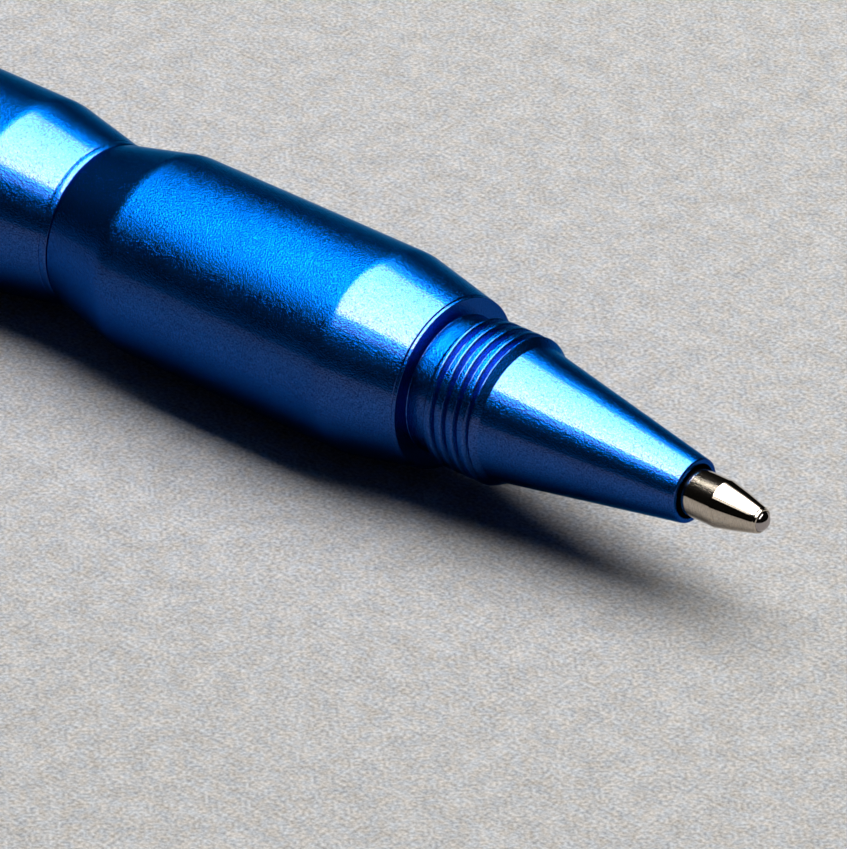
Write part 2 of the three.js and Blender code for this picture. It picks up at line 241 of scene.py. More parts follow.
def dress(piece, finish):
    """Gives a piece one finish all over."""
    piece.data.materials.clear()
    piece.data.materials.append(finish.material)


# %% [markdown]
# The barrels and the cap are blasted with fine glass beads and then anodised. The beads leave
# grains a tenth of a millimetre across, which break the edge of every highlight into sparks. The
# blue is a dye in a clear oxide skin over the metal, so the metal mirrors in blue, even at its
# edges, and the skin adds a white gloss where a lamp is mirrored squarely. Two metallic shaders show
# that: a rough blue one over the full grains, and a small share of a smooth white one over shallow
# grains. The coat of a single shader would whiten the flanks and stay smooth.

# %% Blue anodised finish
GRAIN = 0.085
GRAIN_DEPTH = 0.024
SKIN_DEPTH = 0.003
PATCH = 2.5
SPARK_CONTRAST = 3.2
SPARK_SHARE = 0.7
DYE_DEEP = (0.0, 0.018, 0.11)
DYE_PALE = (0.0, 0.08, 0.345)
DYE_EDGE = (0.0, 0.5, 0.9, 1)
BLASTED_ROUGHNESS = (0.2, 0.26)
GLOSS_TINT = (1, 0.8, 1, 1)
GLOSS_ROUGHNESS = 0.1
GLOSS_SHARE = (0.018, 0.052)
GLOSS_FOCUS = 3

blue = Finish("blue anodised")
grains = blue.speckle(GRAIN, detail=3.0)
patches = blue.speckle(PATCH)
sparks = grains.contrast(SPARK_CONTRAST)
blue.surface({
    "Base Color": blue.mix(sparks * SPARK_SHARE + patches * (1 - SPARK_SHARE), DYE_DEEP, DYE_PALE),
    "Metallic": 1.0,
    "Specular Tint": DYE_EDGE,
    "Roughness": patches.between(*BLASTED_ROUGHNESS),
    "Normal": blue.bump(grains, GRAIN_DEPTH),
})
squarely = 1 - blue.node("ShaderNodeLayerWeight", {}, {}, "Facing")
blue.glaze(squarely ** GLOSS_FOCUS * sparks.between(*GLOSS_SHARE), {
    "Base Color": GLOSS_TINT,
    "Metallic": 1.0,
    "Roughness": GLOSS_ROUGHNESS,
    "Normal": blue.bump(grains, SKIN_DEPTH),
})
print(blue.material.name, "has", len(blue.tree.nodes), "nodes")

# %% [markdown]
# An operator acts on all that is selected. So a new piece starts with nothing selected, and its
# points are then picked in code, by their place. Blender has no primitive that is one point. A tiny
# plane merged to its centre makes one.

# %% Selecting, welding and starting a piece
WELD = 1e-7


def select_only(piece):
    """Selects one piece alone and makes it the active one."""
    bpy.ops.object.select_all(action="DESELECT")
    piece.select_set(True)
    bpy.context.view_layer.objects.active = piece


def weld(distance=WELD):
    """Merges the doubles of the active piece and leaves it in object mode."""
    bpy.ops.object.mode_set(mode="EDIT")
    bpy.ops.mesh.select_all(action="SELECT")
    bpy.ops.mesh.remove_doubles(threshold=distance)
    bpy.ops.object.mode_set(mode="OBJECT")


def draw_point(name, where):
    """A new piece that is one point, left in edit mode."""
    bpy.ops.object.select_all(action="DESELECT")
    bpy.ops.mesh.primitive_plane_add(size=MM)
    piece = bpy.context.object
    piece.name = name
    bpy.ops.object.mode_set(mode="EDIT")
    bpy.ops.mesh.select_mode(type="VERT")
    bpy.ops.mesh.merge(type="CENTER")
    bpy.ops.transform.translate(value=where)
    return piece


def pick(piece, wanted):
    """Selects the vertices, in edit mode, whose place passes the test."""
    mesh = bmesh.from_edit_mesh(piece.data)
    for vertex in mesh.verts:
        vertex.select = wanted(vertex.co)
    mesh.select_flush_mode()
    bmesh.update_edit_mesh(piece.data)


# %% [markdown]
# A lathe turns a bar against a tool that follows a profile. The model is made the same way: a chain
# of edges is drawn by extruding one point from corner to corner, its corners are rounded with a
# bevel, and the chain is spun round the axis. A primitive cylinder would need a cut for each step,
# and would leave the edges unbroken. Five roundings serve most edges of the pen, in millimetres.

# %% Drawing a profile and turning it
CRISP = 0.01
SLIGHT = 0.03
BROKEN = 0.05
EASED = 0.1
BLENDED = 0.3
ROUNDING_STEPS = 4
TURN_STEPS = 192


def draw_profile(name, corners, closed):
    """Draws a chain through corners of (station, radius, rounding), in millimetres."""
    places = [place(station, radius) for station, radius, _ in corners]
    piece = draw_point(name, places[0])
    for here, there in zip(places, places[1:]):
        bpy.ops.mesh.extrude_region_move(TRANSFORM_OT_translate={"value": there - here})
    if closed:
        pick(piece, lambda co: (co - places[0]).length < WELD or (co - places[-1]).length < WELD)
        bpy.ops.mesh.edge_face_add()
    for (_, _, rounding), where in zip(corners, places):
        if rounding:
            pick(piece, lambda co: (co - where).length < WELD)
            bpy.ops.mesh.bevel(offset=rounding * MM, segments=ROUNDING_STEPS, affect="VERTICES")
    return piece


def turn(name, corners, closed=False, steps=TURN_STEPS):
    """Draws a profile, spins it once round the axis, and welds the start to the end."""
    piece = draw_profile(name, corners, closed)
    bpy.ops.mesh.select_all(action="SELECT")
    bpy.ops.mesh.spin(steps=steps, angle=2 * math.pi, center=place(0, 0), axis=(1, 0, 0))
    weld()
    return piece


def arc(centre, radius, start, end, steps, height=0):
    """Corners along a circle round a station, at a height over the axis. Angles are in degrees."""
    angles = [math.radians(start + (end - start) * i / steps) for i in range(steps + 1)]
    return [(centre - radius * math.cos(a), height + radius * math.sin(a), 0) for a in angles]


step_length = 2 * math.pi * radius_of("front_barrel") / TURN_STEPS
print("a step of a turn is", round(step_length, 2), "mm long on the barrel")

# %% [markdown]
# A spun shell is shaded smooth, except across its sharp edges. Where a long straight face meets a
# tiny rounding, plain smooth shading bends the long face's highlight. A Weighted Normal modifier
# lets the large faces decide, so they look as straight as they are. Then the piece is put on the
# body that it moves with, and the solid that it stands for is hidden.

# %% Finishing a piece
SMOOTH_ANGLE = 32
ALL_SMOOTH = 180


def finish_piece(piece, replaced, body, finish, angle=SMOOTH_ANGLE):
    """Turns the faces outwards, shades them, and puts the piece on its body."""
    select_only(piece)
    bpy.ops.object.mode_set(mode="EDIT")
    bpy.ops.mesh.select_all(action="SELECT")
    bpy.ops.mesh.normals_make_consistent(inside=False)
    bpy.ops.object.mode_set(mode="OBJECT")
    bpy.ops.object.shade_smooth_by_angle(angle=math.radians(angle))
    bpy.ops.object.modifier_add(type="WEIGHTED_NORMAL")
    weighted = piece.modifiers[-1]
    weighted.keep_sharp = True
    bpy.ops.object.modifier_apply(modifier=weighted.name)
    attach(piece, body)
    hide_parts(replaced)
    dress(piece, finish)
    print(piece.name, len(piece.data.polygons), "faces")


# %% [markdown]
# A thread is a groove that winds round a cylinder. On this pen its crests are left broad and flat,
# nearly as wide as the groove, and their front edges are worn rounder than their rear ones. A groove
# could be cut with a boolean, but its edges come out ragged. Here a profile one pitch long is
# screwed round the axis instead, so each edge of the thread follows the helix.

# %% A thread's profile
PITCH = 0.75
CREST_R = 4.0
ROOT_R = 3.69
CREST_FLAT = 0.32
ROOT_FLAT = 0.08
FLANK = (PITCH - CREST_FLAT - ROOT_FLAT) / 2
CREST_WORN = 0.07
ROOT_FILLET = 0.04


def draw_thread_profile(name, middle):
    """Draws one pitch of the thread forwards of a crest, whose middle is at that station."""
    next_middle = middle - PITCH
    groove_rear = middle - CREST_FLAT / 2
    groove_front = next_middle + CREST_FLAT / 2
    return draw_profile(name, [
        (middle, CREST_R, 0),
        (groove_rear, CREST_R, CREST_WORN),
        (groove_rear - FLANK, ROOT_R, ROOT_FILLET),
        (groove_front + FLANK, ROOT_R, ROOT_FILLET),
        (groove_front, CREST_R, SLIGHT),
        (next_middle, CREST_R, 0),
    ], False)


def cut_long_edges(piece, longest):
    """Halves the edges of a profile until none is longer than that, in millimetres."""
    while max(edge.calc_length() for edge in bmesh.from_edit_mesh(piece.data).edges) > longest * MM:
        bpy.ops.mesh.select_mode(type="EDGE")
        mesh = bmesh.from_edit_mesh(piece.data)
        for edge in mesh.edges:
            edge.select = edge.calc_length() > longest * MM
        bmesh.update_edit_mesh(piece.data)
        bpy.ops.mesh.subdivide(number_cuts=1)
    bpy.ops.mesh.select_mode(type="VERT")


print("thread flanks lean", round(math.degrees(math.atan2(FLANK, CREST_R - ROOT_R)), 1), "degrees")

# %% [markdown]
# The Screw modifier winds the profile along the X axis, with as many turns as the sleeve needs. The
# real thread ends in a chamfer or a relief. Cutting the sheet there would leave open edges, so it is
# pressed down to an envelope instead: a function that gives the largest radius at each station. The
# rows of the profile have to be fine for that. At both ends, what sticks out is pressed flat.

# %% Screwing a threaded sleeve
FINE_ROW = 0.022
COARSE_ROW = 0.05
SEAM_WELD = 1e-6


def press_down(piece, front, rear, envelope):
    """Ends a threaded sleeve at two stations, keeps it in its envelope, and lifts it to the axis."""
    for vertex in piece.data.vertices:
        station = min(max((TIP_X - vertex.co.x) / MM, front), rear)
        radius = math.hypot(vertex.co.y, vertex.co.z) / MM
        shrink = min(radius, envelope(station)) / radius
        vertex.co = (TIP_X - station * MM, vertex.co.y * shrink, AXIS_Z + vertex.co.z * shrink)
    weld()


def screw_thread(name, front, rear, phase, envelope, row=FINE_ROW, steps=TURN_STEPS):
    """A threaded sleeve between two stations. A crest passes the top of the axis at the phase."""
    start = phase + PITCH * math.ceil((rear - phase) / PITCH + 1)
    piece = draw_thread_profile(name, start)
    cut_long_edges(piece, row)
    bpy.ops.mesh.select_all(action="SELECT")
    bpy.ops.transform.translate(value=(0, 0, -AXIS_Z))
    bpy.ops.object.mode_set(mode="OBJECT")
    helix = piece.modifiers.new("helix", "SCREW")
    helix.axis = "X"
    helix.angle = 2 * math.pi
    helix.screw_offset = PITCH * MM
    helix.iterations = math.ceil((start - front) / PITCH) + 1
    helix.steps = steps
    helix.render_steps = steps
    helix.use_merge_vertices = True
    helix.merge_threshold = WELD
    bpy.ops.object.modifier_apply(modifier=helix.name)
    press_down(piece, front, rear, envelope)
    return piece


def join(piece, other):
    """Joins another piece into the first and welds the rings where they meet."""
    select_only(piece)
    other.select_set(True)
    bpy.ops.object.join()
    weld(SEAM_WELD)


# %% [markdown]
# The front barrel is nose, thread and grip in one piece. Its outline runs from a slim nose cone to
# a threaded shoulder, steps out at a flat face, and swells and narrows again towards the waist. Its
# measures come first. Two functions give the radius where a plain number can't: one round the
# thread, whose chamfer ends in an edge that is worn round, and one along the front taper.

# %% The front barrel's measures
NOSE_FACE_R = 1.7
NOSE_BASE = NOSE_FACE + 11.0
NOSE_BASE_R = 3.6
THREAD_FRONT = NOSE_BASE + 0.42
THREAD_FRONT_WORN = 0.06
THREAD_REAR = NOSE_BASE + 3.23
THREAD_PHASE = 16.63
FACE = NOSE_BASE + 4.63
FACE_R = 4.6
GRIP_FRONT = FACE + 4.6
GRIP_R = 5.5
GRIP_REAR = GRIP_FRONT + 15.0
WAIST_R = 4.55


def front_envelope(station):
    """The front barrel's radius round its thread: cone, chamfer, crests, relief."""
    if station < NOSE_BASE:
        share = (station - NOSE_FACE) / (NOSE_BASE - NOSE_FACE)
        return NOSE_FACE_R + (NOSE_BASE_R - NOSE_FACE_R) * share
    slope = (CREST_R - NOSE_BASE_R) / (THREAD_FRONT - NOSE_BASE)
    chamfer = CREST_R - slope * (THREAD_FRONT - station)
    relief = CREST_R - max(0, station - THREAD_REAR)
    near = max(0, THREAD_FRONT_WORN - abs(station - THREAD_FRONT))
    worn = near ** 2 * slope / (4 * THREAD_FRONT_WORN)
    return min(CREST_R, chamfer, max(ROOT_R, relief)) - worn


def front_taper(behind):
    """The radius of the grip's front taper at a distance behind its face."""
    return FACE_R + (GRIP_R - FACE_R) * behind / (GRIP_FRONT - FACE)


print("grip from", round(FACE, 2), "to", round(WAIST, 2))

# %% [markdown]
# The outline starts just in front of the nose's base, goes round the nose, the bore and the grip,
# and ends in the neck. The threaded sleeve closes it, with a little of the cone and the neck as its
# ends. The bore is drawn too, because the nose's hole shows round the writing point. A fine groove
# just behind the face sets off a narrow bright band along its edge.

# %% Front barrel
NOSE_BORE_R = 1.44
NOSE_BORE_RIM = 0.04
NOSE_BORE_DEPTH = 8.0
NOSE_BORE_CONE = 1.8
BORE_R = 3.05
SOCKET_R = 4.06
SOCKET_DEPTH = 7.6
NECK_FILLET = 0.06
CONE_IN_SLEEVE = 0.4
NECK_PAST_SLEEVE = 0.6
SLEEVE_FRONT = NOSE_BASE - CONE_IN_SLEEVE
SLEEVE_REAR = FACE - NECK_PAST_SLEEVE
EDGE_BAND = 0.16
EDGE_GROOVE = 0.05
EDGE_REAR = EDGE_BAND + 2 * EDGE_GROOVE

front_barrel = turn("front_barrel_turned", [
    (SLEEVE_FRONT, front_envelope(SLEEVE_FRONT), 0),
    (NOSE_FACE, NOSE_FACE_R, EASED),
    (NOSE_FACE, NOSE_BORE_R, NOSE_BORE_RIM),
    (NOSE_FACE + NOSE_BORE_DEPTH, NOSE_BORE_R, 0),
    (NOSE_FACE + NOSE_BORE_DEPTH + NOSE_BORE_CONE, BORE_R, 0),
    (WAIST - SOCKET_DEPTH, BORE_R, 0),
    (WAIST - SOCKET_DEPTH, SOCKET_R, 0),
    (WAIST, SOCKET_R, BROKEN),
    (WAIST, WAIST_R, EASED),
    (GRIP_REAR, GRIP_R, BLENDED),
    (GRIP_FRONT, GRIP_R, BLENDED),
    (FACE + EDGE_REAR, front_taper(EDGE_REAR), CRISP),
    (FACE + EDGE_BAND + EDGE_GROOVE, front_taper(EDGE_BAND) - EDGE_GROOVE, CRISP),
    (FACE + EDGE_BAND, front_taper(EDGE_BAND), CRISP),
    (FACE, FACE_R, BROKEN),
    (FACE, ROOT_R, NECK_FILLET),
    (SLEEVE_REAR, ROOT_R, 0),
])
join(front_barrel, screw_thread("front_thread", SLEEVE_FRONT, SLEEVE_REAR, THREAD_PHASE, front_envelope))
finish_piece(front_barrel, "front_barrel", "front_barrel", blue)

# %% [markdown]
# The rear barrel starts at the waist with a narrow bright lip and a fine groove behind it, flares to
# nearly the full width, runs straight, and tapers again to the tail. The wall is closed round two
# steps of its bore, where the coupler and the tail stud are pressed in. The mouth is a function,
# because the cap begins with the same one.

# %% Rear barrel
REAR_R = 5.4
LIP_BAND = 0.5
LIP_RISE = 0.04
LIP_GROOVE = 0.07
LIP_EDGE = 0.02
FLARE = 4.4
TAPER = 4.3
PRESS_R = 3.83
PRESS_DEPTH = 7.1
STUD_BORE_R = 3.53
STUD_BORE_DEPTH = 8.0
REAR_MOUTH = front_of("rear_barrel")
TAIL_FACE = rear_of("rear_barrel")


def flared_mouth(mouth, full_r):
    """The corners of a mouth: its lip, a fine groove behind the lip, and the flare."""
    return [
        (mouth, WAIST_R, EASED),
        (mouth + LIP_BAND - LIP_GROOVE, WAIST_R + LIP_RISE, LIP_EDGE),
        (mouth + LIP_BAND, WAIST_R, CRISP),
        (mouth + LIP_BAND + LIP_GROOVE, WAIST_R + LIP_RISE, LIP_EDGE),
        (mouth + LIP_BAND + FLARE, full_r, BLENDED),
    ]


rear_barrel = turn("rear_barrel_turned", [
    (REAR_MOUTH, PRESS_R, BROKEN),
    *flared_mouth(REAR_MOUTH, REAR_R),
    (TAIL_FACE - TAPER, REAR_R, BLENDED),
    (TAIL_FACE, WAIST_R, EASED),
    (TAIL_FACE, STUD_BORE_R, BROKEN),
    (TAIL_FACE - STUD_BORE_DEPTH, STUD_BORE_R, 0),
    (TAIL_FACE - STUD_BORE_DEPTH, BORE_R, 0),
    (WAIST + PRESS_DEPTH, BORE_R, 0),
    (WAIST + PRESS_DEPTH, PRESS_R, 0),
], closed=True)
finish_piece(rear_barrel, "rear_barrel", "rear_barrel", blue)

# %% [markdown]
# The cap covers the nose when the pen is put away, and is posted on the tail here. It is a blind
# shell with the same flared mouth as the rear barrel. Its bore steps down with the nose that it
# covers. The bore has no thread drawn in it, because the cap is pulled off straight in the model,
# and drawn threads would cut through each other.

# %% Cap
CAP_R = 5.5
CAP_MOUTH = front_of("cap_shell")
CAP_END = rear_of("cap_shell")
CAP_END_RIM = 0.2
CAP_WALL = 3.3
CAP_BOTTOM = CAP_END - CAP_WALL
CAP_BOTTOM_FILLET = 0.2
TIP_ROOM_R = 1.9
TIP_ROOM_DEPTH = 3.8
TIP_ROOM_FRONT = CAP_BOTTOM - TIP_ROOM_DEPTH
NOSE_ROOM_R = 3.72
NOSE_ROOM_CONE = 3.0
CAP_SOCKET_DEPTH = 4.93
CAP_SOCKET = CAP_MOUTH + CAP_SOCKET_DEPTH

cap = turn("cap_turned", [
    (CAP_BOTTOM, 0, 0),
    (CAP_BOTTOM, TIP_ROOM_R, CAP_BOTTOM_FILLET),
    (TIP_ROOM_FRONT, TIP_ROOM_R, 0),
    (TIP_ROOM_FRONT - NOSE_ROOM_CONE, NOSE_ROOM_R, 0),
    (CAP_SOCKET + SOCKET_R - NOSE_ROOM_R, NOSE_ROOM_R, 0),
    (CAP_SOCKET, SOCKET_R, 0),
    (CAP_MOUTH, SOCKET_R, BROKEN),
    *flared_mouth(CAP_MOUTH, CAP_R),
    (CAP_END - TAPER, CAP_R, BLENDED),
    (CAP_END, WAIST_R, CAP_END_RIM),
    (CAP_END, 0, 0),
])
finish_piece(cap, "cap_shell", "cap", blue)

# %% [markdown]
# The tail stud is pressed in the rear barrel and carries the thread for the posted cap. A pocket in
# its front holds the spring, so its outline is two chains that both end on the axis. They are turned
# one by one and joined with the threaded sleeve between them. It hides under the cap, so fewer steps
# and coarser rows will do.

# %% Tail stud
STUD_R = 3.5
STUD_POCKET_R = 3.0
STUD_POCKET_WALL = 1.0
STUD_NECK = 1.35
STUD_CHAMFER = 0.38
STUD_TAPER = 2.0
STUD_END_R = 3.0
STUD_END_RIM = 0.25
STUD_FRONT = front_of("tail_stud")
STUD_END = rear_of("tail_stud")
STUD_TAPER_FRONT = STUD_END - STUD_TAPER
STUD_THREAD_FRONT = CAP_MOUTH + STUD_NECK
STUD_SLEEVE_FRONT = CAP_MOUTH + NECK_PAST_SLEEVE
STUD_SLEEVE_REAR = STUD_TAPER_FRONT + CONE_IN_SLEEVE
HIDDEN_STEPS = 128


def stud_envelope(station):
    """The stud's radius round its thread: relief, crests, chamfer, end taper."""
    if station >= STUD_TAPER_FRONT:
        return STUD_END_R + (NOSE_BASE_R - STUD_END_R) * (STUD_END - station) / STUD_TAPER
    relief = CREST_R - max(0, STUD_THREAD_FRONT - station)
    chamfer = CREST_R - max(0, station - STUD_TAPER_FRONT + STUD_CHAMFER)
    return min(max(ROOT_R, relief), chamfer)


stud = turn("tail_stud_turned", [
    (STUD_SLEEVE_FRONT, ROOT_R, 0),
    (CAP_MOUTH, ROOT_R, BROKEN),
    (CAP_MOUTH, STUD_R, SLIGHT),
    (STUD_FRONT, STUD_R, EASED),
    (STUD_FRONT, STUD_POCKET_R, BROKEN),
    (TAIL_FACE - STUD_POCKET_WALL, STUD_POCKET_R, EASED),
    (TAIL_FACE - STUD_POCKET_WALL, 0, 0),
], steps=HIDDEN_STEPS)
stud_end = turn("stud_end", [
    (STUD_END, 0, 0),
    (STUD_END, STUD_END_R, STUD_END_RIM),
    (STUD_SLEEVE_REAR, stud_envelope(STUD_SLEEVE_REAR), 0),
], steps=HIDDEN_STEPS)
stud_thread = screw_thread("stud_thread", STUD_SLEEVE_FRONT, STUD_SLEEVE_REAR, STUD_THREAD_FRONT,
                           stud_envelope, COARSE_ROW, HIDDEN_STEPS)
join(stud, stud_end)
join(stud, stud_thread)
finish_piece(stud, "tail_stud", "rear_barrel", blue)

# %% [markdown]
# Brass and steel pieces that were turned or drawn keep fine rings or lines from the tool. An image of
# such marks would need unwrapping. Noise that is short along the axis and long across it looks like
# rings wherever it lies, and feeds the colour, the roughness and a very shallow bump.

# %% Turned metal
RING_PITCH = 0.05
RING_LENGTH = 1.2
RING_DEPTH = 0.0015
ROUGHNESS_PLAY = 0.06


def turned_metal(name, dark, pale, roughness, along=RING_PITCH, across=RING_LENGTH):
    """A bare metal with tool marks of that length along the pen and across it."""
    metal = Finish(name)
    marks = metal.speckle(along, across)
    metal.surface({
        "Base Color": metal.mix(marks, dark, pale),
        "Metallic": 1.0,
        "Roughness": marks.between(roughness - ROUGHNESS_PLAY, roughness + ROUGHNESS_PLAY),
        "Normal": metal.bump(marks, RING_DEPTH),
    })
    return metal


brass = turned_metal("turned brass", dark=(0.48, 0.31, 0.1), pale=(0.76, 0.57, 0.26), roughness=0.28)
print(brass.material.name, "has", len(brass.tree.nodes), "nodes")

# %% [markdown]
# The coupler is a brass insert. Its long plain end is pressed in the rear barrel, and its thread
# screws in the front barrel. Between the two, a groove holds a rubber ring. It is turned and
# threaded as the front barrel is, and it shows when the pen is unscrewed at the waist.

# %% Coupler
COUPLER_FRONT = front_of("coupler")
COUPLER_REAR = rear_of("coupler")
COUPLER_END_RIM = 0.15
COUPLER_PRESS_R = 3.8
COUPLER_CHAMFER_R = 3.65
COUPLER_NECK = 0.4
COUPLER_THREAD = 4.5
COLLAR = 1.0
COLLAR_FRONT = COUPLER_FRONT + COUPLER_THREAD
GROOVE_R = 3.5


def coupler_envelope(station):
    """The coupler's radius round its thread: chamfer, crests, relief before the collar."""
    chamfer = COUPLER_CHAMFER_R + station - COUPLER_FRONT
    relief = CREST_R - max(0, station - COLLAR_FRONT + COUPLER_NECK)
    return min(chamfer, max(ROOT_R, relief))


coupler = turn("coupler_turned", [
    (COLLAR_FRONT, ROOT_R, 0),
    (COLLAR_FRONT, CREST_R, BROKEN),
    (COLLAR_FRONT + COLLAR, CREST_R, BROKEN),
    (COLLAR_FRONT + COLLAR, GROOVE_R, BROKEN),
    (WAIST - COLLAR, GROOVE_R, BROKEN),
    (WAIST - COLLAR, CREST_R, BROKEN),
    (WAIST, CREST_R, BROKEN),
    (WAIST, COUPLER_PRESS_R, SLIGHT),
    (COUPLER_REAR, COUPLER_PRESS_R, COUPLER_END_RIM),
    (COUPLER_REAR, BORE_R, BROKEN),
    (COUPLER_FRONT, BORE_R, BROKEN),
    (COUPLER_FRONT, COUPLER_CHAMFER_R, 0),
], steps=HIDDEN_STEPS)
coupler_thread = screw_thread("coupler_thread", COUPLER_FRONT, COLLAR_FRONT, COUPLER_FRONT,
                              coupler_envelope, COARSE_ROW, HIDDEN_STEPS)
join(coupler, coupler_thread)
finish_piece(coupler, "coupler", "rear_barrel", brass)

# %% [markdown]
# A rubber ring in the coupler's groove keeps the joint from working loose. A primitive torus would
# do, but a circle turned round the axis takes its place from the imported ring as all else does.
# Rubber, plastic, ink and carbide show no tool marks, so one function gives them a faint even
# speckle in colour and roughness.

# %% Sealing ring
RING_CORD_R = 0.25
RING_SIDES = 16


def speckled(name, dark, pale, spot, roughness, metallic=0.0, relief=0):
    """A finish that varies between two colours and two roughnesses in spots of one size."""
    finish = Finish(name)
    spots = finish.speckle(spot)
    finish.surface({
        "Base Color": finish.mix(spots, dark, pale),
        "Metallic": metallic,
        "Roughness": spots.between(*roughness),
    })
    if relief:
        finish.surface({"Normal": finish.bump(spots, relief)})
    return finish


rubber = speckled("nitrile rubber", dark=(0.012, 0.012, 0.013), pale=(0.03, 0.03, 0.032),
                  spot=0.4, roughness=(0.45, 0.75))
ring_station = (front_of("waist_o_ring") + rear_of("waist_o_ring")) / 2
ring_height = radius_of("waist_o_ring") - RING_CORD_R
ring_circle = arc(ring_station, RING_CORD_R, 0, 360, RING_SIDES, ring_height)
ring = turn("o_ring", ring_circle[:-1], closed=True, steps=HIDDEN_STEPS)
finish_piece(ring, "waist_o_ring", "waist_ring", rubber, angle=ALL_SMOOTH)

# %% [markdown]
# The writing point is a nozzle with two cones. In front, its lip is rolled inwards over the ball: a
# small steep step, a rounded bead, and a gap of two hundredths of a millimetre round the ball. The
# lip could be left out at this size, but it catches the light in a close view. The profile runs to
# the rear outside, comes forward along the ink channel, and closes with the ball's seat, which is an
# arc round the ball's centre.

# %% Writing point
POINT_R = 1.25
POINT_REAR = rear_of("writing_point")
CHANNEL_R = 0.45
BALL_R = 0.6
SEAT_R = 0.62
SEAT_FRONT_ANGLE = 64.2
SEAT_REAR_ANGLE = 133.5
SEAT_STEPS = 12
LIP_FRONT = 0.34
LIP_MOUTH_R = 0.575
LIP_FRONT_R = 0.645
LIP_BEAD = 0.055
LIP_REAR = 0.455
LIP_REAR_R = 0.65
STEP_REAR = 0.5
STEP_REAR_R = 0.697
STEP_FILLET = 0.015
FIRST_CONE_REAR = 1.6
FIRST_CONE_REAR_R = 0.995
CONE_BREAK = 0.06
CONE_REAR = 2.75

point = turn("point_turned", [
    (LIP_FRONT, LIP_MOUTH_R, CRISP),
    (LIP_FRONT, LIP_FRONT_R, LIP_BEAD),
    (LIP_REAR, LIP_REAR_R, CRISP),
    (STEP_REAR, STEP_REAR_R, STEP_FILLET),
    (FIRST_CONE_REAR, FIRST_CONE_REAR_R, CONE_BREAK),
    (CONE_REAR, POINT_R, SLIGHT),
    (POINT_REAR, POINT_R, EASED),
    (POINT_REAR, CHANNEL_R, 0),
    *arc(BALL_R, SEAT_R, SEAT_REAR_ANGLE, SEAT_FRONT_ANGLE, SEAT_STEPS),
], closed=True)

# %% [markdown]
# The point is nickel silver. Its cones are burnished to a mirror, and its cylinder is left with the
# lathe's satin rings, with a sharp border between the two. Two materials would need the faces sorted
# by hand. One finish does both, with a mask that compares X with the border's place.

# %% Nickel silver finish
BURNISH_LAP = 0.01
BORDER = CONE_REAR + BURNISH_LAP
TOOL_MARK = 0.05
TOOL_MARK_LENGTH = 0.22
TOOL_MARK_DEPTH = 0.0007
TOOL_MARK_CONTRAST = 1.8
NICKEL_DARK = (0.38, 0.32, 0.26)
NICKEL_PALE = (0.64, 0.56, 0.46)
SATIN_ROUGHNESS = 0.08
BURNISHED_ROUGHNESS = 0.045
SATIN_RELIEF = 1.15
BURNISHED_RELIEF = 0.15
POINT_SMOOTH_ANGLE = 10

nickel = Finish("nickel silver")
spot = nickel.node("ShaderNodeTexCoord", {}, {}, "Object")
along = nickel.node("ShaderNodeSeparateXYZ", {}, {"Vector": spot}, "X")
burnished = along > TIP_X - BORDER * MM
tool_marks = nickel.speckle(TOOL_MARK, TOOL_MARK_LENGTH, detail=3.0)
nickel.surface({
    "Base Color": nickel.mix(tool_marks.contrast(TOOL_MARK_CONTRAST), NICKEL_DARK, NICKEL_PALE),
    "Metallic": 1.0,
    "Roughness": burnished.between(SATIN_ROUGHNESS, BURNISHED_ROUGHNESS),
    "Normal": nickel.bump(tool_marks * burnished.between(SATIN_RELIEF, BURNISHED_RELIEF), TOOL_MARK_DEPTH),
})
finish_piece(point, "writing_point", "refill", nickel, angle=POINT_SMOOTH_ANGLE)

# %% [markdown]
# The ball is ground tungsten carbide, dark and mirror bright. A primitive sphere has its poles on the
# Z axis, across the pen. A half circle turned from pole to pole has them on the pen's axis, and they
# are closed when the doubles are merged.

# %% Ball
BALL_RINGS = 48
BALL_STEPS = 96

carbide = speckled("polished carbide", dark=(0.34, 0.3, 0.3), pale=(0.44, 0.39, 0.37),
                   spot=0.12, roughness=(0.035, 0.065), metallic=1.0)
ball = turn("ball_ground", arc(BALL_R, BALL_R, 0, 180, BALL_RINGS), steps=BALL_STEPS)
finish_piece(ball, "ball", "ball", carbide, angle=ALL_SMOOTH)

# %% [markdown]
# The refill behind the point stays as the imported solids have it: a brass cone that seats in the
# nose, a drawn steel tube, the ink and a moulded plug. They only show when the pen is taken apart,
# so no new meshes are made for them, and each gets the finish of its own material. The tube's marks
# are long along the pen and narrow across it, because it was drawn and not turned.

# %% Refill
steel = turned_metal("drawn steel", dark=(0.45, 0.45, 0.46), pale=(0.68, 0.68, 0.7), roughness=0.3,
                     along=4, across=0.12)
plastic = speckled("moulded acetal", dark=(0.02, 0.021, 0.024), pale=(0.035, 0.036, 0.04),
                   spot=0.15, roughness=(0.35, 0.55), relief=0.004)
ink = speckled("ink paste", dark=(0.003, 0.004, 0.02), pale=(0.008, 0.012, 0.06),
               spot=0.8, roughness=(0.18, 0.33))

hidden = {"tip_holder": brass, "refill_tube": steel, "ink_column": ink, "refill_end_plug": plastic}
for node, finish in hidden.items():
    dress(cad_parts[node], finish)
print("dressed", ", ".join(hidden))

# %% [markdown]
# The spring behind the refill gives when the point is pressed. A copy of the imported one is
# welded and rounded by a Subdivision Surface, which keeps its winding.

# %% Refill spring
SPRING_REAR = rear_of("refill_spring")

